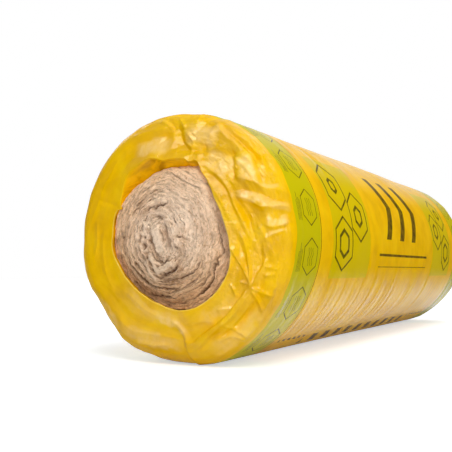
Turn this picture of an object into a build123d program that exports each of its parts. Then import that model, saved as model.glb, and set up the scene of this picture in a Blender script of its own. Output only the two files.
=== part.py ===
from build123d import *
import os

# Insulation roll lying on its side: a mineral wool blanket wound into a tight
# roll, held in a printed film sleeve that is drawn over both ends and leaves
# an opening where the turns of wool show. Millimetres, +Z up, roll axis along X,
# origin on the floor under the middle of the roll.

# Overall sizes of the wrapped roll
roll_length = 1200.0
roll_diameter = 400.0
shoulder_radius = 36.0
# Conical bands that the rounded shoulder is turned in
shoulder_bands = 4

# Film sleeve: several wound layers of thin polyethylene taken as one wall
film_wall = 0.5
opening_radius = 117.0
# Radius of the opening at equal steps round the end, as shares of opening_radius
opening_shares = (1.02, 1.06, 1.10, 1.08, 0.98, 0.94, 0.93, 0.97, 1.00, 0.97, 0.96, 0.99)

# Wool roll: its turns are seen as a spiral parting line on each end
wool_clearance = 0.3
turn_thickness = 11.0
core_radius = 7.0
turn_count = 10
parting_width = 1.6
parting_depth = 5.0

# One overrun for every cut that has to pass right through a wall
cut_overrun = 2.0

# Worked-out places
half_length = roll_length / 2
roll_radius = roll_diameter / 2
wool_inset = film_wall + wool_clearance
roll_axis = Axis((0, 0, roll_radius), (1, 0, 0))
# Half section of the roll: local x runs along the roll, local y outwards from its axis
section_plane = Plane(origin=(0, 0, roll_radius), x_dir=(1, 0, 0), z_dir=(0, -1, 0))
# Near end of the roll, looking along its axis into the wool
near_end_plane = Plane(origin=(-half_length, 0, roll_radius), x_dir=(0, 1, 0), z_dir=(1, 0, 0))


# Half outline of the roll, drawn in evenly by inset: from the middle of the near
# end round its shoulder, along the body and round the far shoulder to the far end
def half_outline(inset):
    shoulder = CenterArc(
        center=(half_length - shoulder_radius, roll_radius - shoulder_radius),
        radius=shoulder_radius - inset,
        start_angle=0,
        arc_size=90,
        mode=Mode.PRIVATE,
    )
    far_shoulder = [shoulder @ (band / shoulder_bands) for band in range(shoulder_bands + 1)]
    far_half = [Vector(half_length - inset, 0), *far_shoulder]
    near_half = [Vector(-point.X, point.Y) for point in far_half]
    return [*near_half, *reversed(far_half)]


# Wool roll: a turned solid that fills the sleeve
with BuildPart() as wool_roll:
    with BuildSketch(section_plane):
        with BuildLine():
            Polyline(*half_outline(wool_inset), close=True)
        make_face()
    revolve(axis=roll_axis)
    # Parting line between the turns: half circles from two centres, half a turn's
    # thickness apart, make a spiral that is cut to an even depth in both ends
    with BuildSketch(near_end_plane):
        with BuildLine():
            for half_turn in range(2 * turn_count):
                swaps_side = half_turn % 2 == 1
                CenterArc(
                    center=(turn_thickness / 2 if swaps_side else 0, 0),
                    radius=core_radius + half_turn * turn_thickness / 2,
                    start_angle=180 if swaps_side else 0,
                    arc_size=180,
                )
        trace(line_width=parting_width)
    near_parting = extrude(amount=wool_inset + parting_depth, mode=Mode.SUBTRACT)
    mirror(near_parting, about=Plane.YZ, mode=Mode.SUBTRACT)


# Film sleeve: a thin turned wall that goes round the shoulders and in over the ends
with BuildPart() as film_wrap:
    with BuildSketch(section_plane):
        with BuildLine():
            Polyline(*half_outline(0), *reversed(half_outline(film_wall)), close=True)
        make_face()
    revolve(axis=roll_axis)
    # Uneven opening where the drawn-in film stops short of the middle
    with BuildSketch(near_end_plane.offset(-cut_overrun)):
        with BuildLine():
            step = 360 / len(opening_shares)
            rim_points = [
                Vector(opening_radius * share, 0).rotate(Axis.Z, index * step)
                for index, share in enumerate(opening_shares)
            ]
            Spline(*rim_points, periodic=True)
        make_face()
    extrude(amount=roll_length + 2 * cut_overrun, mode=Mode.SUBTRACT)


os.makedirs("parts", exist_ok=True)
for name, piece in (("wool_roll", wool_roll), ("film_wrap", film_wrap)):
    piece.part.label = name
    export_step(piece.part, f"parts/{name}.step")
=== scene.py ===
import math
import bpy
import numpy as np
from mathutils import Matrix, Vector
from mathutils.bvhtree import BVHTree
from mathutils.geometry import delaunay_2d_cdt


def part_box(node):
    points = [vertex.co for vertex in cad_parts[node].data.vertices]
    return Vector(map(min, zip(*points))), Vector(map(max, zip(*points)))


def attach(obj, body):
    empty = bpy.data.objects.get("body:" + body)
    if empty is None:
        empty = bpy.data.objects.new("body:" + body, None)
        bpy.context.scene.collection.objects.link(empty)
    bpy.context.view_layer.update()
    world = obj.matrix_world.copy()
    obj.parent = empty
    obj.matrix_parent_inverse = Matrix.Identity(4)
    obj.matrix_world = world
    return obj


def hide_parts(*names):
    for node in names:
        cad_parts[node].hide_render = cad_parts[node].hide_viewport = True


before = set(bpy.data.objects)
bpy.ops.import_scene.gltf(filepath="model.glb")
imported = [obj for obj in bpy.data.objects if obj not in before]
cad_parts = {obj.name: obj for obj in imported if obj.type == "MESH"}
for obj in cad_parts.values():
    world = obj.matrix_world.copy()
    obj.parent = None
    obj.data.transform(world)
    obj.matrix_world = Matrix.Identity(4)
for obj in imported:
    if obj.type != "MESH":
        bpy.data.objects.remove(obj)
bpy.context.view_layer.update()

mm = 0.001
filmLow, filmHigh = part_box("film_wrap")
rollRadius = (filmHigh[2] - filmLow[2]) / 2
axisHeight = (filmHigh[2] + filmLow[2]) / 2
halfLength = (filmHigh[0] - filmLow[0]) / 2
print("frame: roll radius", round(rollRadius, 4), "half length", round(halfLength, 4))


# Small tools

def deselectAll():
    if bpy.context.mode != "OBJECT":
        bpy.ops.object.mode_set(mode="OBJECT")
    bpy.ops.object.select_all(action="DESELECT")


def pickOnly(piece):
    deselectAll()
    piece.select_set(True)
    bpy.context.view_layer.objects.active = piece


def pickFaces(piece, wanted):  # edit mode, with only the wanted faces selected
    pickOnly(piece)
    bpy.ops.object.mode_set(mode="EDIT")
    bpy.ops.mesh.select_mode(type="FACE")
    bpy.ops.mesh.select_all(action="DESELECT")
    bpy.ops.object.mode_set(mode="OBJECT")
    for face in piece.data.polygons:
        face.select = wanted(face)
    bpy.ops.object.mode_set(mode="EDIT")


def faceOutwards(piece, merge):  # smooth shading too, with doubles merged where the piece is closed
    pickOnly(piece)
    bpy.ops.object.mode_set(mode="EDIT")
    bpy.ops.mesh.select_all(action="SELECT")
    if merge:
        bpy.ops.mesh.remove_doubles(threshold=0.01 * mm)
    bpy.ops.mesh.normals_make_consistent(inside=False)
    bpy.ops.object.mode_set(mode="OBJECT")
    bpy.ops.object.shade_smooth()


def readPoints(piece):
    points = np.zeros(len(piece.data.vertices) * 3)
    piece.data.vertices.foreach_get("co", points)
    return points.reshape(-1, 3)


def layFlat(piece, name, u, v):  # the piece's own UV map from one place for each vertex
    corner = np.zeros(len(piece.data.loops), int)
    piece.data.loops.foreach_get("vertex_index", corner)
    layer = piece.data.uv_layers.active
    layer.name = name
    spread = np.stack([u[corner], v[corner]], 1).astype(np.float32)
    layer.uv.foreach_set("vector", spread.reshape(-1))


def keepValues(piece, values):  # values on the piece's points, which its material reads by name
    for name, own in values.items():
        layer = piece.data.attributes.new(name, "FLOAT", "POINT")
        layer.data.foreach_set("value", own.astype(np.float32))
    piece.data.update()


def roundAxis(x, radius, turn):  # places round the roll's axis, turned as the near end is seen
    return np.stack([x, -radius * np.cos(turn), axisHeight + radius * np.sin(turn)], -1)


def ease(low, high, value):  # 0 below low, 1 above high, smooth between
    share = np.clip((value - low) / (high - low), 0.0, 1.0)
    return share * share * (3 - 2 * share)


def turnGap(angle, centre):  # smallest turn from centre to angle, in degrees
    return (angle - centre + 180.0) % 360.0 - 180.0


def latticeValue(ix, iy, iz, seed):  # one repeatable value from -1 to 1 for each lattice corner
    mixer = np.random.default_rng(seed)
    order = mixer.permutation(256)
    values = mixer.uniform(-1.0, 1.0, 256)
    inner = order[(order[iz & 255] + iy) & 255]
    return values[(inner + ix) & 255]


def softNoise(x, y, z, seed):  # smooth noise, about -1 to 1, one lump for each unit
    x, y, z = np.broadcast_arrays(x, y, z)
    ix, iy, iz = (np.floor(c).astype(int) for c in (x, y, z))
    fx, fy, fz = (c - np.floor(c) for c in (x, y, z))
    fx, fy, fz = (c * c * c * (c * (c * 6 - 15) + 10) for c in (fx, fy, fz))
    total = np.zeros(x.shape)
    for dx in (0, 1):
        for dy in (0, 1):
            for dz in (0, 1):
                weight = (fx if dx else 1 - fx) * (fy if dy else 1 - fy) * (fz if dz else 1 - fz)
                total += weight * latticeValue(ix + dx, iy + dy, iz + dz, seed)
    return total


def roundedRoute(points):  # corners of a drawn line cut twice, so that it runs smoothly
    for _ in range(2):
        cut = [points[0]]
        for (ax, ay), (bx, by) in zip(points, points[1:]):
            cut.append((ax * 0.75 + bx * 0.25, ay * 0.75 + by * 0.25))
            cut.append((ax * 0.25 + bx * 0.75, ay * 0.25 + by * 0.75))
        cut.append(points[-1])
        points = cut
    return points


def sideOfRoute(x, y, route):  # signed distance to a line and the share of the way along it
    points = roundedRoute(route)
    lengths = [math.dist(a, b) for a, b in zip(points, points[1:])]
    nearest = np.full(x.shape, 1e9)
    signed = np.zeros(x.shape)
    share = np.zeros(x.shape)
    done = 0.0
    for (ax, ay), (bx, by), length in zip(points, points[1:], lengths):
        dx, dy = (bx - ax) / length, (by - ay) / length
        along = np.clip((x - ax) * dx + (y - ay) * dy, 0.0, length)
        offX, offY = x - ax - along * dx, y - ay - along * dy
        away = np.hypot(offX, offY)
        closer = away < nearest
        nearest = np.where(closer, away, nearest)
        signed = np.where(closer, np.where(dx * offY - dy * offX >= 0, away, -away), signed)
        share = np.where(closer, (done + along) / sum(lengths), share)
        done += length
    return signed, share


def endFade(share, steep, least):  # a drawn line fades out towards its two ends
    return np.clip(np.minimum(share, 1 - share) * steep + least, 0, 1)


def curveThrough(angle, table):  # smooth closed curve through (degrees, value) pairs
    table = sorted(table)
    angles = np.array([a for a, _ in table], float)
    values = np.array([v for _, v in table], float)
    angles = np.concatenate([angles[-2:] - 360, angles, angles[:2] + 360])
    values = np.concatenate([values[-2:], values, values[:2]])
    turned = (angle - angles[2]) % 360.0 + angles[2]
    k = np.clip(np.searchsorted(angles, turned, side="right") - 1, 1, len(angles) - 3)
    t = (turned - angles[k]) / (angles[k + 1] - angles[k])
    p0, p1, p2, p3 = values[k - 1], values[k], values[k + 1], values[k + 2]
    bend0, bend1 = (p2 - p0) / 2, (p3 - p1) / 2
    return ((2 * t**3 - 3 * t**2 + 1) * p1 + (t**3 - 2 * t**2 + t) * bend0
            + (3 * t**2 - 2 * t**3) * p2 + (t**3 - t**2) * bend1)


# Camera

photoView = {
    "place": (-1.502, -0.619, 0.148),
    "looks": (0.8642, 0.499, 0.0629),
    "lens": 55.75,
    "sensor": 36.0,
}


def makeCamera():
    deselectAll()
    bpy.ops.object.camera_add(location=photoView["place"])
    camera = bpy.context.object
    camera.name = "photoCamera"
    camera.rotation_euler = Vector(photoView["looks"]).to_track_quat("-Z", "Y").to_euler()
    camera.data.lens = photoView["lens"]
    camera.data.sensor_width = photoView["sensor"]
    camera.data.dof.use_dof = False
    bpy.context.scene.camera = camera
    print("camera: placed")


# Node tools

def newMaterial(name):
    material = bpy.data.materials.new(name)
    material.use_nodes = True
    tree = material.node_tree
    tree.nodes.clear()
    output = tree.nodes.new("ShaderNodeOutputMaterial")
    shader = tree.nodes.new("ShaderNodeBsdfPrincipled")
    tree.links.new(shader.outputs["BSDF"], output.inputs["Surface"])
    return material, tree, shader


def feed(tree, socket, value):  # a link where value is a socket, and a plain setting otherwise
    if isinstance(value, bpy.types.NodeSocket):
        tree.links.new(value, socket)
    elif value is not None:
        socket.default_value = value


def calc(tree, operation, first, second=None, third=None, clamp=False):
    node = tree.nodes.new("ShaderNodeMath")
    node.operation = operation
    node.use_clamp = clamp
    for socket, value in zip(node.inputs, (first, second, third)):
        feed(tree, socket, value)
    return node.outputs[0]


def times(tree, *values):  # a product, which for masks is where all of them are
    total = values[0]
    for value in values[1:]:
        total = calc(tree, "MULTIPLY", total, value)
    return total


def scaled(tree, value, by, plus, clamp=False):
    return calc(tree, "MULTIPLY_ADD", value, by, plus, clamp)


def mixColour(tree, share, first, second, blend="MIX"):
    node = tree.nodes.new("ShaderNodeMix")
    node.data_type = "RGBA"
    node.blend_type = blend
    feed(tree, node.inputs[0], share)
    feed(tree, node.inputs[6], first)
    feed(tree, node.inputs[7], second)
    return node.outputs[2]


def settle(node, settings):  # plain settings on the node's own sockets
    for name, value in settings.items():
        node.inputs[name].default_value = value


def stretched(tree, vector, stretch, turn=0.0):
    node = tree.nodes.new("ShaderNodeMapping")
    settle(node, {"Scale": stretch, "Rotation": (0.0, 0.0, turn)})
    tree.links.new(vector, node.inputs["Vector"])
    return node.outputs["Vector"]


def noiseOn(tree, vector, scale, detail=3.0, rough=0.55, stretch=None):
    if stretch:
        vector = stretched(tree, vector, stretch)
    node = tree.nodes.new("ShaderNodeTexNoise")
    settle(node, {"Scale": scale, "Detail": detail, "Roughness": rough})
    tree.links.new(vector, node.inputs["Vector"])
    return node.outputs["Fac"]


def creaseCells(tree, vector, scale, turn):  # uneven flat cells with straight creases between them
    node = tree.nodes.new("ShaderNodeTexVoronoi")
    node.feature = "DISTANCE_TO_EDGE"
    node.voronoi_dimensions = "2D"
    settle(node, {"Scale": scale})
    tree.links.new(stretched(tree, vector, (1.5, 0.7, 1.0), turn), node.inputs["Vector"])
    return node.outputs["Distance"]


def ramp(tree, value, stops):
    node = tree.nodes.new("ShaderNodeValToRGB")
    row = node.color_ramp
    while len(row.elements) < len(stops):
        row.elements.new(0.5)
    for element, (place, colour) in zip(row.elements, stops):
        element.position = place
        element.color = colour
    tree.links.new(value, node.inputs["Fac"])
    return node.outputs["Color"]


def ownValue(tree, name):  # a value kept on the piece's own points
    node = tree.nodes.new("ShaderNodeAttribute")
    node.attribute_name = name
    return node.outputs["Fac"]


def ownMap(tree, name):
    node = tree.nodes.new("ShaderNodeUVMap")
    node.uv_map = name
    return node.outputs["UV"]


def bumpOn(tree, shader, height, strength, distance):
    node = tree.nodes.new("ShaderNodeBump")
    settle(node, {"Strength": strength, "Distance": distance})
    tree.links.new(height, node.inputs["Height"])
    tree.links.new(node.outputs["Normal"], shader.inputs["Normal"])
    return node.outputs["Normal"]


def grey(light):
    return (light, light, light, 1.0)


def shown(red, green, blue):  # a colour as seen on screen, 0 to 255, as linear light
    light = []
    for part in (red, green, blue):
        share = part / 255
        light.append(share / 12.92 if share <= 0.04045 else ((share + 0.055) / 1.055) ** 2.4)
    return (*light, 1.0)


# Film sleeve: one flat sheet of printed film, wrapped round the roll and drawn in over both ends

filmSheet = {
    "shoulder": 36 * mm,       # radius where the film turns in over the end
    "rim": 70 * mm,            # stretch behind the shoulder that the creases run out on
    "overlap": 42 * mm,        # the sheet's end lies over its start
    "seamAngle": -81.0,        # where that end shows, seen from the near end
    "layerLift": 2.4 * mm,
    "offFloor": 0.2 * mm,      # no film lies lower than this
    "hem": 18 * mm,            # film inside the folded edge, and how deep it goes
    "hemDepth": 15 * mm,
    "columns": 330,
    "nearRows": (5, 20, 20, 10), "bodyRows": 16, "farRows": (4, 14, 12, 6),
    "slack": (-66, -34, 66, 104),  # angles between which the film is loose and crumpled
    "farTurn": 140.0,          # the far end is drawn in the same way, turned
    "seeds": (5, 61),          # near and far end
    "smoothSlack": 0.2,        # slack that is left where the film is drawn smooth
    "ragged": [(9, 0.7), (3.2, 0.6)],  # the folded edge: degrees from lump to lump, height in millimetres
    "pleats": [(7, 2.2), (2.6, 1.4)],  # and the hem inside it
    "facetReach": 330, "facetShift": 0.42,  # millimetres from the axis, and share of a facet's spacing
    "bodyWaves": (160 * mm, 0.8 * mm),      # length and height
    "layerEdge": (26, 12),     # degrees before the sheet's end, between which it climbs on its start
    "crowding": (0.7, 0.6),    # columns everywhere, and more where the film is crumpled
    "topShine": (100, 24),     # the top of the end is glossy too: middle and half width in degrees
    "bodyGloss": (0.03, 0.7, 0.45),  # everywhere, on the side that faces down, and on the one that faces up
    "endGloss": (0.05, 0.3, 0.28),   # everywhere, where it is crumpled, and low down
}
# Angles are degrees as the near end is seen: 0 to the right, 90 at the top. Radii are millimetres.
openingTable = [
    (-170, 115), (-150, 107), (-124, 103), (-100, 106), (-83, 114), (-67, 119), (-52, 120), (-36, 121),
    (-18, 117), (4, 105), (30, 101), (46, 107), (57, 113), (61, 119), (66, 126), (72, 121), (77, 124),
    (88, 121), (95, 120), (103, 127), (107, 130), (119, 129), (127, 130), (132, 128), (139, 121), (145, 115),
    (151, 111), (154, 107), (156, 113), (163, 115), (173, 114),
]
tuckTable = [  # how far the film shows past its folded edge, minus where it is tucked back under it
    (-170, -9), (-120, -8), (-60, -8), (-10, -9), (40, -6), (57, 4), (66, 13), (80, 18), (95, 20), (108, 26),
    (125, 28), (135, 22), (142, 11), (150, 1), (158, -8), (175, -9),
]
liftTable = [  # how far the folded edge stands out from the flat end
    (-170, 4), (-140, 7), (-110, 8), (-60, 8), (-20, 11), (30, 12), (60, 10), (85, 12), (110, 12), (130, 8),
    (148, 5), (160, 4),
]
flatSides = [(-139, 15), (-112, 11)]  # where the wrap pulls the roll flat: middle and half width
# and where it swells or sinks: middle, spread and height
roundBumps = [(128, 22, 2.5), (78, 12, -2.0), (-62, 20, 4.0), (-92, 15, -3.5), (-116, 7, 5.0)]
paintedSheen = [  # painted sheen: pale patches that stand in for reflections of the lamps and floor on the film: strength, half width and the line
    (0.6, 9, [(-34, -121), (-16, -127), (6, -131), (22, -140), (34, -157)]),
    (0.4, 13, [(-100, -140), (-64, -156), (-21, -164), (26, -170)]),
    (0.35, 7, [(-140, -104), (-122, -126), (-104, -142)]),
    (0.25, 9, [(-88, -78), (-64, -100), (-33, -119), (2, -125), (40, -126)]),
    (0.25, 10, [(52, -128), (90, -112), (118, -86)]),
    (0.35, 13, [(66, -176), (98, -158), (132, -134), (156, -104)]),
    (0.65, 15, [(-74, 141), (-38, 144), (2, 147)]),
    (0.6, 17, [(22, 160), (54, 158), (88, 146)]),
    (0.55, 16, [(66, 124), (90, 112), (106, 90)]),
    (0.65, 14, [(128, 118), (134, 98), (142, 80)]),
    (0.4, 4, [(155, 73), (167, 67), (184, 71)]),
    (0.5, 7, [(112, 62), (138, 58), (159, 48), (177, 43), (204, 42)]),
    (0.5, 7, [(166, 14), (184, 19), (200, 25)]),
    (0.35, 4, [(165, -4), (180, 2), (194, 8)]),
]
creases = [  # height, width to the left and right of the line, and the line, right and up from the axis
    (-7.0, 11, 55, [(2, 182), (14, 166), (15, 154), (24, 141), (40, 130)]),
    (-5.5, 13, 40, [(-94, 147), (-65, 154), (-43, 156), (-20, 159), (0, 165)]),
    (2.5, 8, 9, [(-80, 163), (-33, 170), (-6, 173)]),
    (3.5, 6, 6, [(-26, 186), (-10, 179), (0, 172)]),
    (-3.0, 5, 5, [(-16, 193), (-3, 181), (4, 168)]),
    (3.0, 6, 6, [(5, 194), (14, 184), (24, 171)]),
    (2.2, 4, 4, [(27, 163), (36, 155), (42, 146)]),
    (-2.0, 4, 4, [(33, 165), (42, 157), (48, 149)]),
    (2.0, 4, 4, [(24, 149), (33, 141), (41, 136)]),
    (4.0, 14, 8, [(28, 154), (43, 162), (64, 159), (79, 149)]),
    (-3.0, 7, 10, [(38, 131), (52, 134), (66, 137)]),
    (5.0, 9, 18, [(71, 185), (85, 164), (96, 148), (110, 140), (132, 120), (150, 101), (159, 85)]),
    (-3.5, 6, 5, [(99, 156), (124, 136), (142, 118), (154, 103)]),
    (3.5, 10, 6, [(82, 184), (107, 154), (130, 140), (148, 123), (160, 107), (162, 93)]),
    (3.0, 12, 14, [(64, 128), (82, 132), (102, 129)]),
    (-4.0, 9, 9, [(109, 127), (113, 111), (114, 94), (113, 79)]),
    (7.0, 36, 7, [(112, 122), (115, 103), (119, 86)]),
    (6.0, 26, 8, [(117, 86), (134, 81), (152, 74), (160, 68)]),
    (-4.0, 10, 6, [(141, 119), (149, 98), (157, 80), (161, 72)]),
    (4.5, 7, 12, [(152, 70), (160, 68), (170, 65), (186, 64), (201, 58)]),
    (-3.0, 8, 8, [(114, 66), (134, 66), (155, 59), (173, 50), (199, 48)]),
    (7.0, 20, 8, [(112, 58), (139, 52), (156, 39), (177, 39), (202, 40)]),
    (5.0, 15, 5, [(164, 14), (175, 8), (188, 12), (199, 19)]),
    (3.5, 8, 5, [(167, -4), (180, 1), (193, 7)]),
    (3.0, 5, 7, [(151, 17), (162, 2), (170, -13)]),
    (-3.0, 5, 8, [(58, 105), (76, 90), (100, 72), (110, 45), (126, 11), (136, -12)]),
    (2.5, 7, 5, [(54, 112), (81, 96), (103, 75), (114, 51), (126, 27), (145, -12)]),
    (3.5, 10, 7, [(68, 87), (88, 62), (103, 35), (111, 20)]),
    (-3.5, 8, 7, [(111, 68), (126, 40), (140, 14), (151, -13)]),
    (6.0, 10, 4, [(140, -75), (122, -96), (97, -123), (62, -146), (37, -166)]),
    (6.5, 4, 10, [(145, -80), (130, -100), (108, -122), (77, -142), (52, -165), (43, -177)]),
    (-4.0, 11, 4, [(151, -89), (138, -107), (116, -129), (84, -150)]),
    (6.0, 5, 6, [(142, -76), (135, -55), (120, -32), (109, -14)]),
    (6.0, 6, 5, [(142, -76), (141, -42), (133, -10), (124, 7)]),
    (6.0, 5, 6, [(142, -76), (149, -68), (162, -47), (164, -33)]),
    (5.5, 5, 8, [(142, -77), (157, -84), (175, -91)]),
    (5.5, 6, 5, [(143, -82), (152, -99), (154, -115)]),
    (3.5, 6, 5, [(109, -71), (116, -85), (117, -92)]),
    (3.0, 5, 5, [(124, -70), (135, -71), (142, -76)]),
    (3.5, 5, 9, [(84, -111), (97, -109), (109, -107)]),
    (2.0, 12, 5, [(35, -137), (59, -127), (82, -129)]),
    (3.0, 9, 4, [(88, -130), (115, -141), (132, -156)]),
    (-3.0, 7, 7, [(54, -162), (71, -148), (86, -141)]),
    (3.0, 9, 5, [(77, -158), (89, -152), (107, -146), (128, -161)]),
    (3.0, 5, 6, [(163, -47), (175, -49), (182, -52)]),
    (3.0, 6, 5, [(160, -61), (170, -59), (180, -59)]),
    (4.0, 9, 14, [(2, -130), (20, -138), (31, -151), (32, -168)]),
    (-2.5, 2, 6, [(24, -150), (29, -180), (34, -214)]),
    (3.0, 5, 12, [(-78, -166), (-40, -172), (0, -170)]),
    (-1.5, 9, 9, [(-152, 66), (-106, 52)]),
    (3.0, 16, 12, [(-115, -119), (-90, -137), (-64, -152), (-21, -155), (26, -160)]),
    (2.0, 7, 12, [(-84, -84), (-60, -105), (-31, -123), (2, -128)]),
    (2.0, 9, 6, [(-158, -44), (-146, -8), (-150, 34)]),
    (1.8, 6, 10, [(-131, 20), (-136, -20), (-128, -60), (-112, -88)]),
    (1.8, 8, 7, [(-166, 20), (-140, 78), (-104, 128)]),
]
facets = [  # loose facets between the creases: spacing, height and how much longer they are round the end
    (26, 2.8, 1), (13, 1.1, 2), (7, 1.3, 5), (4, 0.6, 7),
]


def slackness(angle):  # 1 where the film is crumpled, low where it is drawn smooth
    start, full, fall, end = filmSheet["slack"]
    least = filmSheet["smoothSlack"]
    gap = turnGap(angle, 0)
    return least + (1 - least) * ease(start, full, gap) * (1 - ease(fall, end, gap))


def drawnFolds(x, y):  # each crease has a sharp crest and a hollow slope on both sides
    height = np.zeros(len(x))
    for high, left, right, route in creases:
        off, share = sideOfRoute(x, y, route)
        slope = np.clip(1 - np.where(off > 0, off / left, -off / right), 0, 1)
        height += high * endFade(share, 6, 0.1) * slope**1.6
    return height


def looseFacets(spacing, seed):  # flat triangles between points at uneven heights, -1 to 1
    dice = np.random.default_rng(seed)
    count = int(filmSheet["facetReach"] / spacing)
    shift = filmSheet["facetShift"]
    points, heights = [], []
    for row in range(-count, count + 1):
        for column in range(-count, count + 1):
            x = (column + 0.5 * (row % 2) + dice.uniform(-shift, shift)) * spacing
            y = (row + dice.uniform(-shift, shift)) * spacing
            points.append(Vector((x, y)))
            heights.append(dice.uniform(-1, 1))
    corners, _, faces, sources, _, _ = delaunay_2d_cdt(points, [], [], 0, 0.001)
    return BVHTree.FromPolygons([(c.x, c.y, heights[s[0]]) for c, s in zip(corners, sources)], faces)


def heightOn(sheet, x, y):
    heights = np.zeros(len(x))
    above = 60.0  # higher than any facet
    down = Vector((0, 0, -1))
    for k in range(len(x)):
        spot = sheet.ray_cast(Vector((x[k], y[k], above)), down)[0]
        if spot:
            heights[k] = spot.z
    return heights


def filmEnd(zone, angle, turned, seed):
    # zone 0 to 1 is the hem inside the opening, to 2 the flat end, to 3 the shoulder, to 4 the rim
    shoulder = filmSheet["shoulder"]
    flatRadius = rollRadius - shoulder
    local = angle - turned
    ragged = sum(high * softNoise(angle / size, step + 0.5, 0.5, seed + step)
                 for step, (size, high) in enumerate(filmSheet["ragged"]))
    opening = (curveThrough(local, openingTable) + ragged) * mm
    tuck = curveThrough(local, tuckTable) * mm
    lift = curveThrough(local, liftTable) * mm
    hem = np.clip(1 - zone, 0, 1)
    lip = np.clip(2 - zone, 0, 1)
    bend = np.clip(zone - 2, 0, 1) * math.pi / 2
    rim = np.clip(zone - 3, 0, 1)
    developed = (flatRadius + (opening - flatRadius) * lip + shoulder * bend + filmSheet["rim"] * rim
                 - filmSheet["hem"] * hem)
    turnIn = hem * math.pi / 2
    sloped = ease(0, 14 * mm, tuck)  # the film slopes in to the wool there, and is rolled under elsewhere
    sink = filmSheet["hemDepth"] * (np.sin(turnIn) * (1 - sloped) + 2.2 * hem * sloped)
    inward = tuck * ((1 - np.cos(turnIn)) * (1 - sloped) + hem * sloped)
    out = (halfLength - shoulder * (1 - np.cos(bend)) - filmSheet["rim"] * rim + lift * lip**1.5 - sink)
    pleats = sum(high * softNoise(angle / size, hem * (step + 1), 0.5, seed + 2 + step)
                 for step, (size, high) in enumerate(filmSheet["pleats"]))
    radius = (flatRadius + (opening - flatRadius) * lip + shoulder * np.sin(bend)
              - inward - pleats * mm * np.sin(turnIn))

    right = developed / mm * np.cos(np.radians(local))
    up = developed / mm * np.sin(np.radians(local))
    aroundEnd = np.radians(turnGap(local, 0)) * flatRadius / mm
    loose = slackness(local)
    stand = drawnFolds(right, up)
    for step, (spacing, high, longer) in enumerate(facets):
        sheet = looseFacets(spacing, seed + 10 + step)
        if longer == 1:
            stand += high * loose * heightOn(sheet, right, up)
        else:  # wrinkles that run round the end, a little aslant
            stray = 5 * softNoise(right / 30, up / 30, 6.2, seed + 20 + step)
            across = developed / mm + 0.2 * aroundEnd + stray
            stand += high * loose * heightOn(sheet, across, aroundEnd / longer)
    stand += 1.3 * softNoise(right / 45, up / 45, 2.2, seed + 21)
    stand += 0.7 * softNoise((right - 0.5 * up) / 13, (up + 0.5 * right) / 50, 5.2, seed + 22)
    hold = ((1 - 0.7 * lip**5) * (1 - 0.95 * ease(0.0, 0.4, rim)) * (1 - hem)
            * (1 - 0.5 * ease(2.5, 3.0, zone)))  # creases die away at the folded edge and on the body
    outward = np.where(zone < 1, 0.6, np.cos(bend))
    stand = stand * hold * mm
    # painted sheen: pale patches along the listed lines, standing in for reflections
    pale = np.zeros(len(zone))
    wander = 4 * softNoise(right / 12, up / 12, 8.2, seed + 23)
    for strength, half, route in paintedSheen:
        off, share = sideOfRoute(right, up, route)
        inside = 1 - ease(0.4, 1.1, np.abs(off + wander) / half)
        pale = np.maximum(pale, strength * endFade(share, 5, 0) * inside)
    return out + stand * outward, radius + stand * np.sqrt(1 - outward**2), developed, pale


def outOfRound(angle, x):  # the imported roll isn't a true circle
    change = np.zeros(len(angle))
    for middle, half in flatSides:
        gap = np.abs(turnGap(angle, middle))
        chord = rollRadius * (1 - math.cos(math.radians(half)) / np.cos(np.radians(np.minimum(gap, half))))
        change -= np.where(gap < half, chord, 0.0)
    for middle, spread, high in roundBumps:
        change += high * mm * np.exp(-(turnGap(angle, middle) / spread) ** 2)
    turn = np.radians(angle)
    long, high = filmSheet["bodyWaves"]
    swell = high * softNoise(x / long, np.cos(turn) * 2, np.sin(turn) * 2, 77)
    clear = ease(10, 60, np.abs(turnGap(angle, -90)))  # no waves where the roll lies on the floor
    return change * ease(50 * mm, halfLength, -x) + swell * clear


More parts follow.
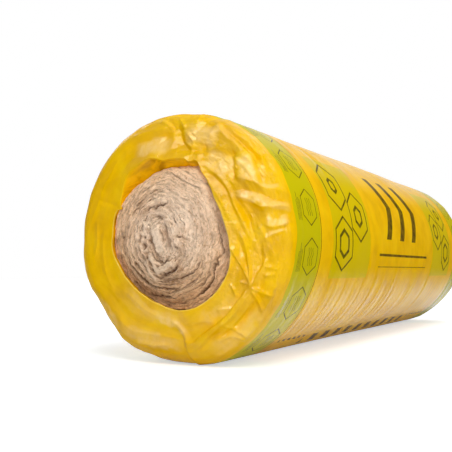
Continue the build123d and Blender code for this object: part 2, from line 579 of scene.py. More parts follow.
def makeFilm():
    counts = [*filmSheet["nearRows"], filmSheet["bodyRows"], *reversed(filmSheet["farRows"])]
    lastZone = len(counts)
    zones = [zone + np.arange(count) / count for zone, count in enumerate(counts)]
    zones = np.concatenate([*zones, [lastZone]])
    zones = np.where(zones < 1, 1 - (1 - zones) ** 2, zones)  # closer rows at the folded edges
    hemStart = lastZone - 1
    zones = np.where(zones > hemStart, hemStart + (zones - hemStart) ** 2, zones)
    columns = filmSheet["columns"]
    sweep = 360.0 * (1 + filmSheet["overlap"] / (2 * math.pi * rollRadius))
    startAngle = filmSheet["seamAngle"] + sweep - 360.0

    even = np.linspace(0, 1, 4 * columns)
    plain, more = filmSheet["crowding"]
    crowd = np.cumsum(plain + more * slackness(startAngle - sweep * even))
    around = np.interp(np.linspace(crowd[0], crowd[-1], columns), crowd, even)

    deselectAll()
    bpy.ops.mesh.primitive_grid_add(x_subdivisions=columns - 1, y_subdivisions=len(zones) - 1, size=1.0)
    film = bpy.context.object
    film.name = "film_sleeve"
    flat = np.zeros((len(zones), columns, 3))
    flat[:, :, 0] = zones[:, None]
    flat[:, :, 1] = around[None, :]
    film.data.vertices.foreach_set("co", flat.reshape(-1))
    film.data.update()
    nearZones = len(filmSheet["nearRows"])
    pickFaces(film, lambda face: face.center.x < nearZones)
    bpy.ops.mesh.subdivide(number_cuts=1)
    bpy.ops.object.mode_set(mode="OBJECT")

    flat = readPoints(film)
    zone, share = flat[:, 0], flat[:, 1]
    angle = startAngle - sweep * share
    isNear, isFar = zone <= nearZones, zone >= nearZones + 1
    shoulderStart = halfLength - filmSheet["shoulder"]
    straight = rollRadius - filmSheet["shoulder"] + filmSheet["shoulder"] * math.pi / 2
    bodyEdge = shoulderStart - filmSheet["rim"]

    x = -bodyEdge + 2 * bodyEdge * (zone - nearZones)
    radius = np.full(len(zone), rollRadius)
    along = x.copy()
    tilt = np.sin(np.radians(angle))  # 1 on top of the roll, -1 underneath
    plain, under, above = filmSheet["bodyGloss"]
    gloss = plain + under * ease(0.22, 0.62, -tilt) * (1 - 0.85 * ease(0.74, 0.88, -tilt))
    gloss += above * ease(0.45, 0.85, tilt) * (1 - 0.65 * ease(0.92, 0.985, tilt))
    plain, crumpled, under = filmSheet["endGloss"]
    shineMiddle, shineHalf = filmSheet["topShine"]
    loose, pale = np.zeros(len(zone)), np.zeros(len(zone))
    ends = ((isNear, -1, 0.0), (isFar, 1, filmSheet["farTurn"]))
    for (chosen, side, turned), seed in zip(ends, filmSheet["seeds"]):
        seen = angle[chosen] if side < 0 else 180.0 - angle[chosen]
        depth = zone[chosen] if side < 0 else lastZone - zone[chosen]
        out, wide, developed, pale[chosen] = filmEnd(depth, seen, turned, seed)
        x[chosen], radius[chosen] = side * out, wide
        along[chosen] = side * (shoulderStart + straight - developed)
        slack = slackness(seen - turned)
        shiny = np.exp(-(turnGap(seen - turned, shineMiddle) / shineHalf) ** 2)
        shiny = np.maximum(slack, shiny)
        endGloss = plain + crumpled * shiny + under * ease(0.45, 0.9, -tilt[chosen])
        onBody = ease(2.2, 3.0, depth)
        gloss[chosen] = endGloss * (1 - onBody) + gloss[chosen] * onBody
        loose[chosen] = slack * (1 - ease(2.6, 3.0, depth))
    climb, top = filmSheet["layerEdge"]
    over = filmSheet["layerLift"] * ease(sweep - climb, sweep - top, sweep * share)
    onEnd = radius < rollRadius - filmSheet["shoulder"] / 2
    radius = radius + np.where(onEnd, 0.0, over) + outOfRound(angle, x) * ease(110 * mm, 190 * mm, radius)
    x = x + np.where(onEnd, np.sign(x) * over, 0.0)
    wrapped = roundAxis(x, radius, np.radians(angle))
    wrapped[:, 2] = np.maximum(wrapped[:, 2], filmSheet["offFloor"])
    film.data.vertices.foreach_set("co", wrapped.reshape(-1))

    longest = np.abs(along).max()
    layFlat(film, "OFBake", share, along / (2 * longest) + 0.5)
    depth = np.minimum(zone, lastZone - zone)
    edgeHighlightShare = 1 - ease(20, 50, 90 - np.abs(turnGap(angle, 100)))  # no painted edge highlight at the top of the opening
    keepValues(film, {
        "innerFilm": np.clip(1 - depth, 0, 1), "gloss": gloss, "loose": loose, "paintedSheen": pale,
        "paintedEdgeHighlight": np.clip(1 - np.abs(depth - 0.99) / 0.06, 0, 1) * edgeHighlightShare,
    })
    faceOutwards(film, merge=False)
    width = 2 * math.pi * rollRadius + filmSheet["overlap"]
    film.data.materials.clear()
    film.data.materials.append(filmFinish(2 * longest, width, startAngle))
    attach(film, "root")
    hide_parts("film_wrap")
    print("film: sheet", round(width, 3), "by", round(2 * longest, 3), "m,", len(film.data.polygons), "faces")


filmPrint = {  # a plain made-up print: green edge bands, honeycomb panels, arrows and rules. Millimetres
    "yellow": shown(240, 186, 0), "ochre": shown(228, 172, 0), "lemon": shown(246, 198, 6),
    "green": shown(195, 184, 2), "panelGreen": shown(210, 186, 0), "ink": shown(40, 34, 8),
    # the cut edge colour is a painted highlight along the folded edge
    # the inside colours: the folded-in film, and the darker one painted shade in streaks where it lies under
    # the folded edge
    "inside": shown(250, 188, 6), "insideShade": shown(208, 144, 6), "paintedEdgeHighlight": shown(255, 220, 90),
    # the colour of the painted sheen
    "paintedSheen": shown(255, 216, 138),
    "repeat": 628.3, "middleAngle": 13.0,      # the print comes twice round the roll
    "band": (478, 571), "bandRule": (474.5, 476.5),
    "slip": (206, 45, 25.0),                   # the band is pulled back near the top: middle, spread, how far
    "cell": 77.0, "cellPlace": 514, "cellRadius": 25, "cellLine": 1.0,
    "ripples": {"pitch": 7.2, "line": 1.6, "sway": 1.6, "turns": 0.42, "along": 21, "aside": 28},
    "bars": {"pitch": 4.2, "line": 0.3, "along": (546, 562.8), "start": -23, "end": 14,
             "ragged": 7, "turns": 2.3},
    "panel": (236, 424), "panelWidth": 224,
    "combs": [(372, 52, 12), (372, -52, 20), (290, 0, 16)],  # along, aside and the inner outline's radius
    "combRadius": 40, "combLines": (2.0, 3.2),
    "arrows": {"middle": 34, "slant": 0.62, "pitch": 90, "wide": 30, "along": (-120, 150),
               "aside": (-36, 104)},
    "rules": [(-70, -65), (-92, -90.5)], "ruleReach": 178,
    "dashLean": 0.8,
    "dashes": [((-272, -242), (-1, 330), 62, 27),  # aside, along, pitch and length
               ((-246, -238), (340, 452), 21, 11)],
}


def between(tree, value, low, high):
    return times(tree, calc(tree, "GREATER_THAN", value, low), calc(tree, "LESS_THAN", value, high))


def within(tree, value, width):
    return between(tree, value, -width / 2, width / 2)


def repeated(tree, value, pitch):  # counted from the middle of each repeat
    return calc(tree, "WRAP", value, pitch / 2, -pitch / 2)


def wavyLine(tree, value, turns, sway):
    return times(tree, calc(tree, "SINE", times(tree, value, turns)), sway)


def hexReach(tree, x, y):  # distance from a honeycomb cell's middle, measured across its flats
    x, y = calc(tree, "ABSOLUTE", x), calc(tree, "ABSOLUTE", y)
    slant = calc(tree, "ADD", times(tree, x, math.sin(math.pi / 3)), times(tree, y, 0.5))
    return calc(tree, "MAXIMUM", slant, y)


def bandMarks(tree, along, arc):  # a row of cells with wavy lines in them and ragged bars beside them
    cell = repeated(tree, arc, filmPrint["cell"])
    offCell = calc(tree, "SUBTRACT", along, filmPrint["cellPlace"])
    reach = hexReach(tree, cell, offCell)
    outline = calc(tree, "COMPARE", reach, filmPrint["cellRadius"], filmPrint["cellLine"])
    ripples = filmPrint["ripples"]
    ripple = calc(tree, "ADD", offCell, wavyLine(tree, cell, ripples["turns"], ripples["sway"]))
    wavy = times(tree, within(tree, repeated(tree, ripple, ripples["pitch"]), ripples["line"]),
                 within(tree, offCell, ripples["along"]), within(tree, cell, ripples["aside"]))
    bars = filmPrint["bars"]
    row = times(tree, along, 1 / bars["pitch"])
    barEnd = wavyLine(tree, calc(tree, "FLOOR", row), bars["turns"], bars["ragged"])
    barLine = calc(tree, "LESS_THAN", calc(tree, "FRACT", row), bars["line"])
    ragged = times(tree, barLine, between(tree, along, *bars["along"]),
                   between(tree, cell, bars["start"], calc(tree, "ADD", barEnd, bars["end"])))
    return [outline, wavy, ragged, between(tree, along, *filmPrint["bandRule"])]


def bodyMarks(tree, x, along, arc):  # honeycombs, arrows, rules and dashes
    marks = []
    outerLine, innerLine = filmPrint["combLines"]
    for place, side, inner in filmPrint["combs"]:
        reach = hexReach(tree, calc(tree, "SUBTRACT", arc, side), calc(tree, "SUBTRACT", along, place))
        marks += [calc(tree, "COMPARE", reach, filmPrint["combRadius"], outerLine),
                  calc(tree, "COMPARE", reach, inner, innerLine)]
    arrows = filmPrint["arrows"]
    tip = calc(tree, "ABSOLUTE", calc(tree, "SUBTRACT", arc, arrows["middle"]))
    tip = scaled(tree, tip, arrows["slant"], x)
    marks.append(times(tree, between(tree, calc(tree, "WRAP", tip, arrows["pitch"], 0), 0, arrows["wide"]),
                       between(tree, tip, *arrows["along"]), between(tree, arc, *arrows["aside"])))
    for low, high in filmPrint["rules"]:
        marks.append(times(tree, between(tree, arc, low, high),
                           calc(tree, "LESS_THAN", along, filmPrint["ruleReach"])))
    lean = scaled(tree, arc, filmPrint["dashLean"], x)
    for aside, reach, pitch, long in filmPrint["dashes"]:
        marks.append(times(tree, between(tree, arc, *aside), between(tree, along, *reach),
                           calc(tree, "LESS_THAN", calc(tree, "WRAP", lean, pitch, 0), long)))
    return marks


def printMasks(tree, x, arc):
    along = calc(tree, "ABSOLUTE", x)
    middle, spread, far = filmPrint["slip"]
    slip = scaled(tree, arc, 1 / spread, -middle / spread)
    slip = calc(tree, "EXPONENT", times(tree, slip, slip, -1.0))
    band = between(tree, scaled(tree, slip, far, along), *filmPrint["band"])
    arc = repeated(tree, arc, filmPrint["repeat"])
    panel = times(tree, between(tree, along, *filmPrint["panel"]), within(tree, arc, filmPrint["panelWidth"]))
    ink, *others = bandMarks(tree, along, arc) + bodyMarks(tree, x, along, arc)
    for mark in others:
        ink = calc(tree, "MAXIMUM", ink, mark)
    return band, panel, ink


filmSurface = {
    "bandInk": 0.9, "panelInk": 0.85, "markInk": 0.92, "edgeHighlightCover": 0.8,  # how well each colour covers
    "wrinkles": [(0.05, 3.0), (0.12, 2.0)],  # soft ones where the film is loose: scale and height
    "sharpCreases": [(0.045, 0.5, 3.4), (0.1, -0.5, 2.2), (0.2, 0.3, 1.0)],  # scale, turn and height
    "bump": (0.35, 1.2 * mm),                # strength and depth
    "roughness": (0.16, 0.18),               # how far it varies, and the least
    "rubbed": (4.4, -1.35),                  # duller rings round the roll: contrast and level
    "coatRoughness": 0.09,
}


def filmFinish(length, width, startAngle):
    material, tree, shader = newMaterial("printedFilm")
    parts = tree.nodes.new("ShaderNodeSeparateXYZ")
    tree.links.new(ownMap(tree, "OFBake"), parts.inputs["Vector"])
    x = times(tree, calc(tree, "SUBTRACT", parts.outputs["Y"], 0.5), length / mm)
    start = math.radians(startAngle - filmPrint["middleAngle"]) * rollRadius / mm
    arc = scaled(tree, parts.outputs["X"], -width / mm, start)
    flat = tree.nodes.new("ShaderNodeCombineXYZ")
    tree.links.new(x, flat.inputs["X"])
    tree.links.new(arc, flat.inputs["Y"])
    flat = flat.outputs["Vector"]

    patches = noiseOn(tree, flat, 0.016, detail=4.0)
    base = ramp(tree, patches, [(0.3, filmPrint["ochre"]), (0.5, filmPrint["yellow"]),
                                (0.72, filmPrint["lemon"])])
    scuffs = noiseOn(tree, flat, 1.0, detail=5.0, rough=0.65, stretch=(0.06, 0.014, 1.0))
    scuffs = ramp(tree, scuffs, [(0.36, (0.95, 0.94, 0.93, 1)), (0.6, grey(1.01))])
    base = mixColour(tree, 1.0, base, scuffs, blend="MULTIPLY")
    band, panel, marks = printMasks(tree, x, arc)
    worn = noiseOn(tree, flat, 0.05, detail=6.0, rough=0.7)
    thin = ramp(tree, worn, [(0.3, grey(0.72)), (0.6, grey(1.0))])
    colour = mixColour(tree, times(tree, band, filmSurface["bandInk"]), base, filmPrint["green"])
    colour = mixColour(tree, times(tree, panel, filmSurface["panelInk"]), colour, filmPrint["panelGreen"])
    colour = mixColour(tree, times(tree, thin, filmSurface["markInk"], marks), colour, filmPrint["ink"])
    mottled = noiseOn(tree, flat, 0.09, detail=4.0, rough=0.6)
    mottled = ramp(tree, mottled, [(0.3, grey(0.4)), (0.62, grey(1.0))])
    # painted sheen: pale reflections painted on, broken up by mottling
    colour = mixColour(tree, times(tree, ownValue(tree, "paintedSheen"), mottled), colour, filmPrint["paintedSheen"])
    # painted shade: darker streaks on the folded-in film, which lies in shade under the folded edge
    innerShadeStreaks = noiseOn(tree, flat, 1.0, stretch=(0.16, 0.012, 1.0))
    innerShade = ramp(tree, innerShadeStreaks, [(0.36, filmPrint["insideShade"]), (0.56, filmPrint["inside"])])
    inside = scaled(tree, ownValue(tree, "innerFilm"), 9.0, -0.2, clamp=True)
    colour = mixColour(tree, inside, colour, innerShade)
    # painted highlight: a pale line along the folded edge, where the film's edge catches the light
    edge = times(tree, ownValue(tree, "paintedEdgeHighlight"), filmSurface["edgeHighlightCover"])
    colour = mixColour(tree, edge, colour, filmPrint["paintedEdgeHighlight"])
    tree.links.new(colour, shader.inputs["Base Color"])

    streaks = noiseOn(tree, flat, 1.0, detail=4.0, stretch=(0.22, 0.006, 1.0))
    fineCreases = noiseOn(tree, flat, 0.06, detail=5.0, rough=0.62)
    pull = scaled(tree, streaks, 0.5, times(tree, fineCreases, 0.6))
    for scale, high in filmSurface["wrinkles"]:
        fold = calc(tree, "SUBTRACT", noiseOn(tree, flat, scale, detail=2.0), 0.5)
        fold = times(tree, calc(tree, "ABSOLUTE", fold), ownValue(tree, "loose"))
        pull = scaled(tree, fold, high, pull)
    for scale, turn, high in filmSurface["sharpCreases"]:
        fold = times(tree, creaseCells(tree, flat, scale, turn), ownValue(tree, "loose"))
        pull = scaled(tree, fold, high, pull)
    creased = bumpOn(tree, shader, pull, *filmSurface["bump"])
    tree.links.new(creased, shader.inputs["Coat Normal"])
    uneven = scaled(tree, noiseOn(tree, flat, 0.03), *filmSurface["roughness"])
    tree.links.new(uneven, shader.inputs["Roughness"])
    rubbed = noiseOn(tree, flat, 1.0, detail=4.0, rough=0.6, stretch=(0.09, 0.004, 1.0))
    rubbed = scaled(tree, rubbed, *filmSurface["rubbed"])
    gloss = calc(tree, "MULTIPLY", ownValue(tree, "gloss"), rubbed, clamp=True)
    tree.links.new(gloss, shader.inputs["Coat Weight"])
    settle(shader, {"IOR": 1.5, "Specular IOR Level": 0.0, "Coat Roughness": filmSurface["coatRoughness"]})
    return material


# Wool: one blanket wound into a roll, its cut edges felted, layered and uneven

woolRoll = {  # millimetres
    "pitch": 10.5, "centre": (-13, -8),
    "disc": 138.0,             # the wool that can be seen ends here, under the film
    "crown": 16.0,             # how far its middle stands proud
    "shake": 0.7,              # how far its fibres stray sideways
    "nearRings": 150, "farRings": 80, "segments": 360,
    "seeds": (301, 401),       # near and far end
    "inset": 9.0,              # elsewhere the wool lies this far inside the film
    "firstRing": 14.0,         # and starts this far outside the disc
}
recessTable = [  # how far the outer turns lie back behind the end
    (-170, -7), (-145, -10), (-120, -11), (-85, -8), (-55, -5), (0, -4), (35, -6), (62, -14), (85, -26),
    (125, -27), (140, -20), (150, -10), (160, -6),
]
moundTable = [  # how far out the proud middle reaches
    (-170, 106), (-145, 96), (-110, 94), (-80, 97), (-55, 96), (-25, 97), (0, 94), (25, 95), (50, 106),
    (65, 120), (81, 115), (100, 114), (121, 112), (135, 116), (150, 117), (160, 116),
]
waves = [  # how the turns wander: size, sway and the further sway in the middle
    (46, 4.0, 0.0), (17, 1.6, 4.5), (8, 1.5, 1.2), (4, 0.6, 0.4),
]
layers = [  # felted layers within the blanket: how many across it, length along it, depth
    (2.6, 26, 1.8), (5.5, 17, 1.6), (10, 11, 1.2),
]
tears = [  # form, height, half width and the line in millimetres right and up from the axis
    ("gap", 4.0, 1.3, [(-40, 42), (-33, 46), (-25, 47)]),
    ("gap", 5.0, 1.7, [(-28, 43), (-15, 49), (-8, 48), (0, 52)]),
    ("gap", 2.5, 1.4, [(-70, 38), (-54, 50)]),
    ("gap", 2.2, 6.0, [(84, 34), (94, 2), (100, -36)]),
    ("gap", 5.0, 1.4, [(84, 16), (89, -5), (92, -27)]),
    ("gap", 5.5, 1.6, [(92, -27), (80, -41), (77, -57), (65, -76), (47, -91)]),
    ("gap", 3.5, 1.2, [(84, -30), (72, -46), (66, -62), (52, -80)]),
    ("gap", 3.5, 1.2, [(97, -48), (88, -66), (70, -88)]),
    ("gap", 5.0, 1.8, [(-59, -62), (-40, -73), (-18, -81), (18, -79)]),
    ("gap", 5.0, 1.8, [(-47, -89), (-28, -93), (-3, -93)]),
    ("gap", 4.0, 1.5, [(-20, -70), (10, -68), (38, -60), (58, -42)]),
    ("gap", 2.5, 3.6, [(-79, 30), (-88, 9), (-90, -12), (-87, -31)]),
    ("gap", 6.0, 2.6, [(-82, -34), (-74, -50), (-62, -63), (-40, -76)]),
    ("gap", 4.0, 1.6, [(-72, -26), (-66, -44), (-52, -58)]),
    ("flap", 1.4, 5.0, [(-42, 14), (-32, 33), (-16, 39), (-2, 35), (9, 22), (16, 6), (20, -20)]),
    ("fold", 2.5, 4.5, [(-38, 16), (-28, 23)]),
    ("gap", 4.0, 4.4, [(-5, 22), (0, 3), (7, -22)]),
    ("gap", 3.5, 3.0, [(-32, 6), (-28, -9), (-19, -27)]),
    ("flap", 5.0, 8.5, [(-20, 13), (-15, -5), (-6, -25)]),
    ("fold", 4.5, 2.3, [(-57, -9), (-58, 4), (-50, 7), (-44, 2)]),
    ("fold", 4.5, 2.3, [(-56, -8), (-47, -20), (-33, -21)]),
    ("fold", 3.5, 2.3, [(-44, 24), (-37, 14), (-28, 13)]),
    ("flap", 3.0, 4.0, [(-40, -39), (-36, -56), (-20, -68)]),
    ("gap", 3.0, 1.6, [(18, -1), (26, -3), (36, -6)]),
    ("gap", 3.5, 4.0, [(-17, 30), (-9, 25)]),
    ("gap", 4.0, 3.0, [(-48, -12), (-40, -15)]),
    ("gap", 5.5, 2.0, [(-44, 0), (-41, -1)]),
    ("gap", 5.5, 2.4, [(-34, -6), (-29, -10)]),
    ("gap", 4.0, 2.0, [(-55, -4), (-51, -7)]),
    ("gap", 6.0, 2.0, [(-40, -33), (-36, -35)]),
    ("gap", 4.0, 3.4, [(-16, -36), (-8, -41)]),
    ("gap", 4.5, 2.2, [(-15, -64), (1, -58), (18, -47)]),
    ("flap", 5.0, 4.4, [(-30, -29), (-18, -54)]),
    ("flap", 5.5, 5.4, [(-18, -54), (-3, -49), (12, -41)]),
    ("fold", 2.0, 2.4, [(-18, 46), (0, 40), (13, 30)]),
    ("gap", 3.5, 1.8, [(8, 20), (12, 17)]),
    ("fold", 3.0, 2.6, [(17, -10), (24, -14)]),
    ("gap", 3.5, 2.0, [(14, -17), (22, -19)]),
]
roughTable = [  # how far the layers part: torn at the left and low down, felted smooth at the right
    (-170, 1.2), (-135, 1.5), (-100, 1.4), (-60, 1.2), (-20, 0.8), (25, 0.5), (65, 0.6), (105, 0.9),
    (150, 1.1),
]


def woolEnd(x, y, seed):  # height of the cut edges, and where each point lies on the blanket. Millimetres
    away = np.hypot(x, y)
    pull = 1 - ease(20, 130, away)
    sx, sy = x - woolRoll["centre"][0] * pull, y - woolRoll["centre"][1] * pull
    close = 1 - ease(15, 62, np.hypot(sx, sy))  # the middle is crumpled and taller than wide
    wx, wy = sx * (1 + 0.42 * close), sy * (1 - 0.15 * close)
    for step, (size, plain, middle) in enumerate(waves):
        sway = plain + middle * close
        wx = wx + sway * softNoise(sx / size, sy / size, 0.4, seed + 40 + step)
        wy = wy + sway * softNoise(sx / size, sy / size, 7.4, seed + 50 + step)
    radius, theta = np.hypot(wx, wy), np.arctan2(wy, wx)
    pitch = woolRoll["pitch"]
    wound = radius / pitch - theta / (2 * math.pi)
    turn = np.floor(wound)
    across = wound - turn
    run = pitch * (2 * math.pi * turn + theta) ** 2 / (4 * math.pi)

    bearing = np.degrees(np.arctan2(y, x))
    mound = away / curveThrough(bearing, moundTable)
    recess = curveThrough(bearing, recessTable)
    height = woolRoll["crown"] * (1 - mound**2.2) + (recess + 2) * ease(0.9, 1.06, mound)
    height = np.maximum(height, recess - 2)
    plain = height.copy()
    height += 1.7 * softNoise(run / 60, 0.3, 0.5, seed + 4) + 1.4 * softNoise(run / 21, 0.9, 0.5, seed + 5)
    edge = np.minimum(across, 1 - across) * pitch
    gape = 0.7 * softNoise(x / 26, y / 26, 4.5, seed + 6)
    gape = np.clip(0.1 + gape + 0.7 * softNoise(run / 9, turn * 1.7, 0.5, seed + 7), 0, 1)
    rough = 0.8 + (curveThrough(bearing, roughTable) - 0.8) * ease(20, 55, away)
    height -= rough * (0.8 + 3.0 * gape) * np.exp(-((edge / (0.5 + 0.5 * gape)) ** 1.5))
    for step, (count, long, deep) in enumerate(layers):
        felt = softNoise(across * count, run / long, turn * 0.77, seed + 8 + step)
        height += rough * deep * (0.7 * felt - np.exp(-((felt / 0.12) ** 2)) * np.clip(0.3 + gape, 0, 1))
    height += 0.9 * softNoise(x / 6, y / 6, 0.2, seed + 14)
    height += 0.6 * softNoise(x / 2.8, y / 2.8, 0.2, seed + 15)

    lint = 0.6 * np.clip(1 - rough, 0, 1)
    # painted shade in the gaps
    gapShade = np.zeros(x.shape)
    wander = softNoise(x / 7, y / 7, 3.3, seed + 16) + 0.5 * softNoise(x / 2.6, y / 2.6, 3.3, seed + 18)
    for form, high, half, route in tears:
        off, share = sideOfRoute(x, y, route)
        if form == "flap":  # a torn strip that lies on top, with its own cut sides
            off = np.abs(off + 1.6 * wander) / half
            cover = (1 - ease(0.7, 1.05, off)) * endFade(share, 8, 0.6)
            strip = high + 0.9 * softNoise(x / 3, y / 3, 0.4, seed + 17) - 1.0 * off**2
            height = height + cover * (0.3 * height + 0.7 * plain + strip - height)
            lint = np.maximum(lint, cover * min(1.0, high / 5))
            continue
        mark = endFade(share, 5, 0.35) * np.exp(-((off + 2 * wander) / half) ** 2)
        if form == "fold":  # a pale ridge
            height = height + high * mark
            lint = np.maximum(lint, 0.8 * mark)
        else:  # a gap, with painted shade in it
            height = height - high * mark
            gapShade = np.maximum(gapShade, high / 7 * mark)
    return height, run, across * pitch, lint, gapShade


def creviceShare(height):  # how far each point lies below the wool round it, 0 to 1, which gets painted shade
    reach, deepest = 3, 4.0  # grid steps to each side, and millimetres
    smooth = height.copy()
    for _ in range(3):
        smooth = (np.roll(smooth, reach, 1) + np.roll(smooth, -reach, 1) + smooth) / 3
        padded = np.pad(smooth, ((reach, reach), (0, 0)), mode="edge")
        smooth = (padded[:-2 * reach] + padded[reach:-reach] + padded[2 * reach:]) / 3
    return np.clip((smooth - height) / deepest, 0, 1)


def makeWool():
    segments, disc, inset = woolRoll["segments"], woolRoll["disc"], woolRoll["inset"]
    angle = np.linspace(0, 360, segments + 1)
    turn = np.radians(angle)
    rows, ownRows = [], []

    def addEnd(side, rings, seed, turned):
        reach = np.linspace(0, disc, rings)[:, None]
        pull = 1 - ease(0, disc, reach)
        seen = turn if side < 0 else math.pi - turn
        right = woolRoll["centre"][0] * pull + reach * np.cos(seen[None, :] - math.radians(turned))
        up = woolRoll["centre"][1] * pull + reach * np.sin(seen[None, :] - math.radians(turned))
        height, run, across, lint, gapShade = woolEnd(right, up, seed)
        # painted shade in crevices and gaps
        depth = np.maximum(creviceShare(height), gapShade)
        shake = woolRoll["shake"] * (1 - ease(disc - 8, disc, reach))
        right = right + shake * softNoise(right / 4, up / 4, height / 4, seed + 30)
        up = up + shake * softNoise(right / 4, up / 4, height / 4 + 9, seed + 31)
        back = math.radians(turned)
        trueRight = right * math.cos(back) - up * math.sin(back)
        trueUp = right * math.sin(back) + up * math.cos(back)
        out = side * (halfLength + height * mm)
        place = np.stack([out, side * trueRight * mm, axisHeight + trueUp * mm], 2)
        place[:, -1] = place[:, 0]
        place[0] = place[0].mean(0)
        order = slice(None) if side < 0 else slice(None, None, -1)
        rows.extend(place[order])
        ownRows.extend(np.stack([run, across, depth, lint], 2)[order])

    def addHidden(x, radius):  # a ring of wool under the film
        rows.append(roundAxis(x + 0 * turn, radius, turn))
        ownRows.append(np.stack([angle * 3, 0 * angle + x / mm, 0 * angle, 0 * angle], 1))

    bends = [math.radians(step) for step in range(0, 91, 15)]
    shoulder = filmSheet["shoulder"]
    hidden = [(halfLength - inset * mm, (disc + woolRoll["firstRing"]) * mm)]
    hidden += [(halfLength - shoulder + (shoulder - inset * mm) * math.cos(bend),
                rollRadius - shoulder + (shoulder - inset * mm) * math.sin(bend)) for bend in bends]
    nearSeed, farSeed = woolRoll["seeds"]
    addEnd(-1, woolRoll["nearRings"], nearSeed, 0.0)
    for out, radius in hidden:
        addHidden(-out, radius)
    for out, radius in reversed(hidden):
        addHidden(out, radius)
    addEnd(1, woolRoll["farRings"], farSeed, filmSheet["farTurn"])

    deselectAll()
    bpy.ops.mesh.primitive_grid_add(x_subdivisions=segments, y_subdivisions=len(rows) - 1, size=1.0)
    wool = bpy.context.object
    wool.name = "wool_blanket"
    wool.data.vertices.foreach_set("co", np.array(rows).reshape(-1))
    own = np.array(ownRows).reshape(-1, 4)
    layFlat(wool, "alongBlanket", own[:, 0] * mm, own[:, 1] * mm)
    keepValues(wool, {"creviceShade": own[:, 2], "lint": own[:, 3]})
    faceOutwards(wool, merge=True)
    wool.data.materials.clear()
    wool.data.materials.append(woolFinish())
    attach(wool, "root")
    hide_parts("wool_roll")
    print("wool: blanket,", len(wool.data.polygons), "faces")


woolColours = {
    "patches": [(0.30, shown(206, 168, 132)), (0.46, shown(234, 201, 168)), (0.60, shown(247, 220, 190)),
                (0.76, shown(227, 184, 142))],
    "outer": shown(250, 203, 150),  # the outer turns are warmer
    "low": (0.76, 0.69, 0.58, 1.0),  # painted shade: darker towards the bottom, where less light falls
    "lint": shown(252, 225, 195),
    # painted shade for crevices and gaps
    "creviceShade": shown(106, 64, 28),
    "binder": shown(192, 140, 90),
    "lines": [(0.36, (0.52, 0.44, 0.36, 1.0)), (0.54, (1.17, 1.17, 1.18, 1.0))],  # shade along the blanket
    "cover": {"outer": 0.85, "lint": 0.9, "binder": 0.85, "paleFibres": 0.6},     # how well each covers
    "bump": (0.9, 1.6 * mm),  # strength and depth
}


def woolFinish():
    material, tree, shader = newMaterial("mattedWool")
    place = tree.nodes.new("ShaderNodeTexCoord").outputs["Object"]
    blanket = ownMap(tree, "alongBlanket")
    patches = noiseOn(tree, place, 26.0, detail=4.0)
    colour = ramp(tree, patches, woolColours["patches"])
    parts = tree.nodes.new("ShaderNodeSeparateXYZ")
    tree.links.new(place, parts.inputs["Vector"])
    up = calc(tree, "SUBTRACT", parts.outputs["Z"], axisHeight)
    aside = parts.outputs["Y"]
    away = calc(tree, "SQRT", scaled(tree, aside, aside, times(tree, up, up)))
    blotch = scaled(tree, patches, 0.06, away)
    warm = scaled(tree, blotch, 14.0, -1.1, clamp=True)
    cover = woolColours["cover"]
    colour = mixColour(tree, times(tree, warm, cover["outer"]), colour, woolColours["outer"])
    colour = mixColour(tree, times(tree, ownValue(tree, "lint"), cover["lint"]), colour, woolColours["lint"])
    specks = noiseOn(tree, place, 230.0, detail=6.0, rough=0.75)
    tan = ramp(tree, specks, [(0.54, grey(0.0)), (0.68, grey(1.0))])
    colour = mixColour(tree, times(tree, tan, cover["binder"]), colour, woolColours["binder"])
    pale = ramp(tree, specks, [(0.32, grey(1.0)), (0.46, grey(0.0))])
    colour = mixColour(tree, times(tree, pale, cover["paleFibres"]), colour, woolColours["lint"])
    blanket = mixColour(tree, 0.004, blanket, noiseOn(tree, place, 90.0), blend="LINEAR_LIGHT")  # wavy lines
    plies = noiseOn(tree, blanket, 1.0, detail=4.0, rough=0.65, stretch=(42.0, 420.0, 1.0))
    fibres = noiseOn(tree, blanket, 1.0, detail=5.0, rough=0.7, stretch=(160.0, 1100.0, 1.0))
    shade = ramp(tree, scaled(tree, plies, 0.75, times(tree, fibres, 0.25)), woolColours["lines"])
    lines = scaled(tree, ownValue(tree, "lint"), -0.7, 0.88)
    colour = mixColour(tree, lines, colour, shade, blend="MULTIPLY")
    # painted shade: the wool darker towards the bottom
    low = scaled(tree, scaled(tree, patches, 0.04, up), -11.0, 0.1, clamp=True)
    colour = mixColour(tree, low, colour, woolColours["low"], blend="MULTIPLY")
    # painted shade in crevices and gaps, dark brown
    colour = mixColour(tree, ownValue(tree, "creviceShade"), colour, woolColours["creviceShade"])
    tree.links.new(colour, shader.inputs["Base Color"])
    felt = scaled(tree, noiseOn(tree, place, 480.0, detail=4.0, rough=0.7), 0.7, specks)
    bumpOn(tree, shader, scaled(tree, plies, 1.2, felt), *woolColours["bump"])
    settle(shader, {"Roughness": 0.95, "Specular IOR Level": 0.15, "Sheen Weight": 0.15})
    return material


# Studio: white floor and background, soft lamps

studio = {
    "floorSize": 14.0,
    "lamps": [  # name, place, aim, width, height, watts
        ("keyLamp", (-1.8, -1.0, 1.8), (-0.5, -0.02, 0.2), 1.0, 1.0, 23.5),
        ("backLamp", (0.3, 2.4, 1.5), (0.1, 0.0, 0.2), 1.6, 1.2, 14),
        ("lowLamp", (-2.3, -1.1, 0.3), (-0.6, -0.05, 0.12), 1.0, 0.5, 9.5),
        ("topLamp", (0.4, -0.6, 2.3), (0.1, 0.0, 0.2), 1.6, 1.0, 20),
        ("sideLamp", (0.3, -2.4, 1.2), (-0.1, 0.0, 0.2), 1.6, 1.2, 8.2),
        ("sheenPanel", (-2.2, -0.1, 1.75), (-0.5, -0.05, 0.25), 1.6, 1.6, 110),
    ],
    "glossOnly": "sheenPanel",  # this lamp is seen in the film's gloss only
    "floorColour": (0.80, 0.84, 0.91, 1.0),
    "worldLight": 0.24,
    "floorGlow": (0.55, 1.0),  # near the roll and far from it, only as seen
    "floorFade": (0.4, -0.3),  # slope and start of the change between them
}


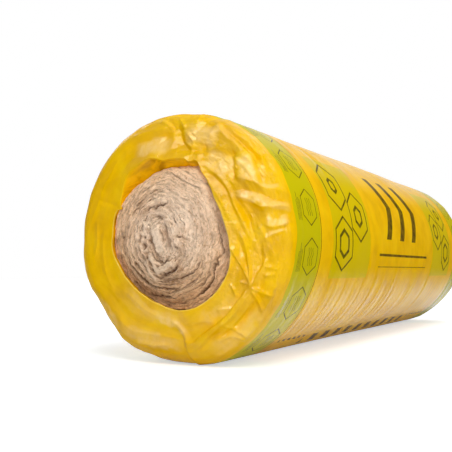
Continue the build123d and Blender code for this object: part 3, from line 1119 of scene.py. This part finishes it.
def rayIsSeen(tree):  # 1 for what the camera, a reflection or a clear surface sees
    path = tree.nodes.new("ShaderNodeLightPath")
    seen = calc(tree, "ADD", path.outputs["Is Camera Ray"], path.outputs["Is Glossy Ray"], clamp=True)
    return calc(tree, "ADD", seen, path.outputs["Is Transmission Ray"], clamp=True)


def makeStudio():
    scene = bpy.context.scene
    scene.view_settings.view_transform = "Standard"
    deselectAll()
    bpy.ops.mesh.primitive_plane_add(size=studio["floorSize"], location=(0, 0, 0))
    floor = bpy.context.object
    floor.name = "studio_floor"
    material, tree, shader = newMaterial("paleFloor")
    settle(shader, {"Base Color": studio["floorColour"], "Roughness": 0.9, "Specular IOR Level": 0.1,
                    "Emission Color": grey(1.0)})
    away = tree.nodes.new("ShaderNodeVectorMath")
    away.operation = "LENGTH"
    tree.links.new(tree.nodes.new("ShaderNodeTexCoord").outputs["Object"], away.inputs[0])
    fade = scaled(tree, away.outputs["Value"], *studio["floorFade"], clamp=True)
    close, far = studio["floorGlow"]
    glow = scaled(tree, fade, far - close, close)
    tree.links.new(times(tree, rayIsSeen(tree), glow), shader.inputs["Emission Strength"])
    floor.data.materials.append(material)

    for name, place, aim, width, height, watts in studio["lamps"]:
        bpy.ops.object.light_add(type="AREA", location=place)
        lamp = bpy.context.object
        lamp.name = name
        lamp.data.shape = "RECTANGLE"
        lamp.data.size = width
        lamp.data.size_y = height
        lamp.data.energy = watts
        lamp.rotation_euler = (Vector(aim) - Vector(place)).to_track_quat("-Z", "Y").to_euler()
        lamp.visible_diffuse = name != studio["glossOnly"]

    world = bpy.data.worlds.new("whiteRoom")
    scene.world = world
    world.use_nodes = True
    tree = world.node_tree
    tree.nodes.clear()
    output = tree.nodes.new("ShaderNodeOutputWorld")
    sky = tree.nodes.new("ShaderNodeBackground")
    settle(sky, {"Color": grey(1.0)})
    strength = scaled(tree, rayIsSeen(tree), 1.0 - studio["worldLight"], studio["worldLight"])
    tree.links.new(strength, sky.inputs["Strength"])
    tree.links.new(sky.outputs["Background"], output.inputs["Surface"])
    print("studio: floor, lamps and white world")


makeCamera()
makeFilm()
makeWool()
makeStudio()
